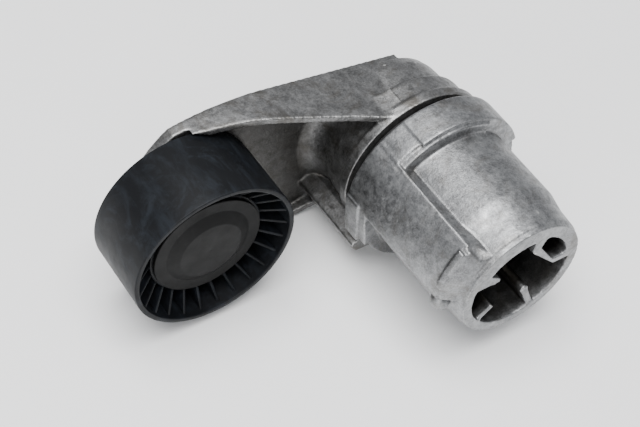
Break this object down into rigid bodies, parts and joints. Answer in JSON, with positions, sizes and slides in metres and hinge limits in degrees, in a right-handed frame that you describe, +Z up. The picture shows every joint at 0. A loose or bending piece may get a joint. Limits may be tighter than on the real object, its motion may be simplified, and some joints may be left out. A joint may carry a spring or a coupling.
{
  "type": "belt tensioner",
  "caption": "Spring-loaded belt tensioner: cast housing with a torsion spring, swinging channel-section arm and a smooth moulded idler pulley on a ball bearing.",
  "frame": {"origin": "on the pivot axis, at the housing's turned end face", "axes": "+Y along the pivot axis from the end face towards the arm, the pulley lies along -X, +Z up"},
  "size_m": [0.1693, 0.109, 0.0773],
  "materials": {
    "cast_housing": "as cast, mottled",
    "cast_arm": "as cast, stained",
    "wheel_plastic": "satin, scuffed",
    "cap_plastic": "matte moulded",
    "polymer": "matte",
    "bush_polymer": "matte",
    "plated_steel": "zinc plated",
    "bearing_steel": "ground and polished",
    "spring_steel": "oil tempered",
    "seal_rubber": "matte"
  },
  "bodies": {
    "base": {"spring_housing": "cast_housing", "pivot_shaft": "plated_steel", "shaft_retainer": "plated_steel", "thrust_washer": "bush_polymer", "gap_ring": "polymer", "spring_seat": "polymer", "torsion_spring": "spring_steel"},
    "arm": {"tensioner_arm": "cast_arm", "front_pivot_bush": "bush_polymer", "rear_pivot_bush": "bush_polymer", "friction_sleeve": "polymer", "pulley_bolt": "plated_steel", "bolt_washer": "plated_steel", "bearing_spacer": "plated_steel", "bearing_inner_ring": "bearing_steel", "rear_dust_shield": "plated_steel"},
    "pulley": {"pulley_wheel": "wheel_plastic", "bearing_outer_ring": "bearing_steel", "front_seal": "seal_rubber", "rear_seal": "seal_rubber", "pulley_dust_cap": "cap_plastic"},
    "ball_set": {"bearing_balls": "bearing_steel", "ball_cage": "bush_polymer"}
  },
  "joints": [
    {"name": "arm_pivot", "type": "hinge", "parent": "base", "child": "arm", "pos_m": [0, 0, 0], "axis": [0, -1, 0], "range_deg": [0, 45], "stiffness_Nm_per_rad": 14, "springref_deg": -51.57},
    {"name": "pulley_spin", "type": "hinge", "parent": "arm", "child": "pulley", "pos_m": [-0.09765, 0.08175, 0], "axis": [0, 1, 0], "continuous": true},
    {"name": "ball_set_spin", "type": "hinge", "parent": "arm", "child": "ball_set", "pos_m": [-0.09765, 0.0836, 0], "axis": [0, 1, 0], "continuous": true}
  ],
  "couplings": [
    {"joint": "ball_set_spin", "follows": "pulley_spin", "ratio": 0.6184}
  ]
}
